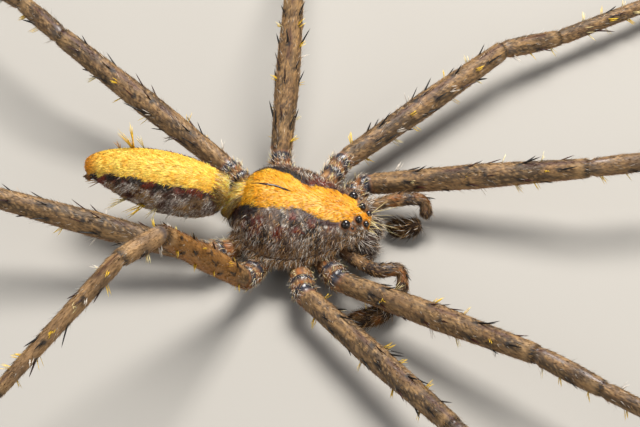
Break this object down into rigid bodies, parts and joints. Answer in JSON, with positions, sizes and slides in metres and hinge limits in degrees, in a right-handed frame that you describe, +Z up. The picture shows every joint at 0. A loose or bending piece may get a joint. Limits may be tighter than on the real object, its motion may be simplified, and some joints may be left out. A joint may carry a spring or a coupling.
{
  "type": "wandering spider",
  "caption": "Life-size still model of a huntsman-like wandering spider with a yellow back stripe, standing with its legs spread, for display.",
  "frame": {"origin": "middle of the spider's outer box, on the floor under its feet", "axes": "+X towards the head, +Y towards the spider's left side, +Z up from the floor"},
  "size_m": [0.1424, 0.1072, 0.0164],
  "materials": {
    "leg_hair": "short khaki-brown hair lying flat, with darker mottling and black spines",
    "joint_skin": "orange-tan skin with dark blue-grey plates and bristles",
    "eye": "black, wet-looking and rounded",
    "face_hair": "long grey-white hairs over dark brown",
    "palp_hair": "dark brown hair with orange-tan patches",
    "carapace_hair": "golden-yellow band over grey-brown sides",
    "under_skin": "matt brown skin",
    "abdomen_hair": "golden-yellow band over mottled grey-brown sides with pale tufts",
    "spinneret_skin": "matt tan skin with short hair"
  },
  "bodies": {
    "root": {"abdomen": "abdomen_hair", "carapace": "carapace_hair", "chelicera_l": "face_hair", "chelicera_r": "face_hair", "coxa_l1": "joint_skin", "coxa_l2": "joint_skin", "coxa_l3": "joint_skin", "coxa_l4": "joint_skin", "coxa_r1": "joint_skin", "coxa_r2": "joint_skin", "coxa_r3": "joint_skin", "coxa_r4": "joint_skin", "eye_front_l": "eye", "eye_front_r": "eye", "eye_middle_l": "eye", "eye_middle_r": "eye", "eye_rear_l": "eye", "eye_rear_r": "eye", "eye_side_l": "eye", "eye_side_r": "eye", "femur_l1": "leg_hair", "femur_l2": "leg_hair", "femur_l3": "leg_hair", "femur_l4": "leg_hair", "femur_r1": "leg_hair", "femur_r2": "leg_hair", "femur_r3": "leg_hair", "femur_r4": "leg_hair", "foot_l1": "leg_hair", "foot_l2": "leg_hair", "foot_l3": "leg_hair", "foot_l4": "leg_hair", "foot_r1": "leg_hair", "foot_r2": "leg_hair", "foot_r3": "leg_hair", "foot_r4": "leg_hair", "palp_arm_l": "palp_hair", "palp_arm_r": "palp_hair", "palp_tarsus_l": "palp_hair", "palp_tarsus_r": "palp_hair", "patella_l1": "leg_hair", "patella_l2": "leg_hair", "patella_l3": "leg_hair", "patella_l4": "leg_hair", "patella_r1": "leg_hair", "patella_r2": "leg_hair", "patella_r3": "leg_hair", "patella_r4": "leg_hair", "pedicel": "under_skin", "spinnerets": "spinneret_skin", "sternum": "under_skin", "tibia_l1": "leg_hair", "tibia_l2": "leg_hair", "tibia_l3": "leg_hair", "tibia_l4": "leg_hair", "tibia_r1": "leg_hair", "tibia_r2": "leg_hair", "tibia_r3": "leg_hair", "tibia_r4": "leg_hair"}
  },
  "joints": []
}
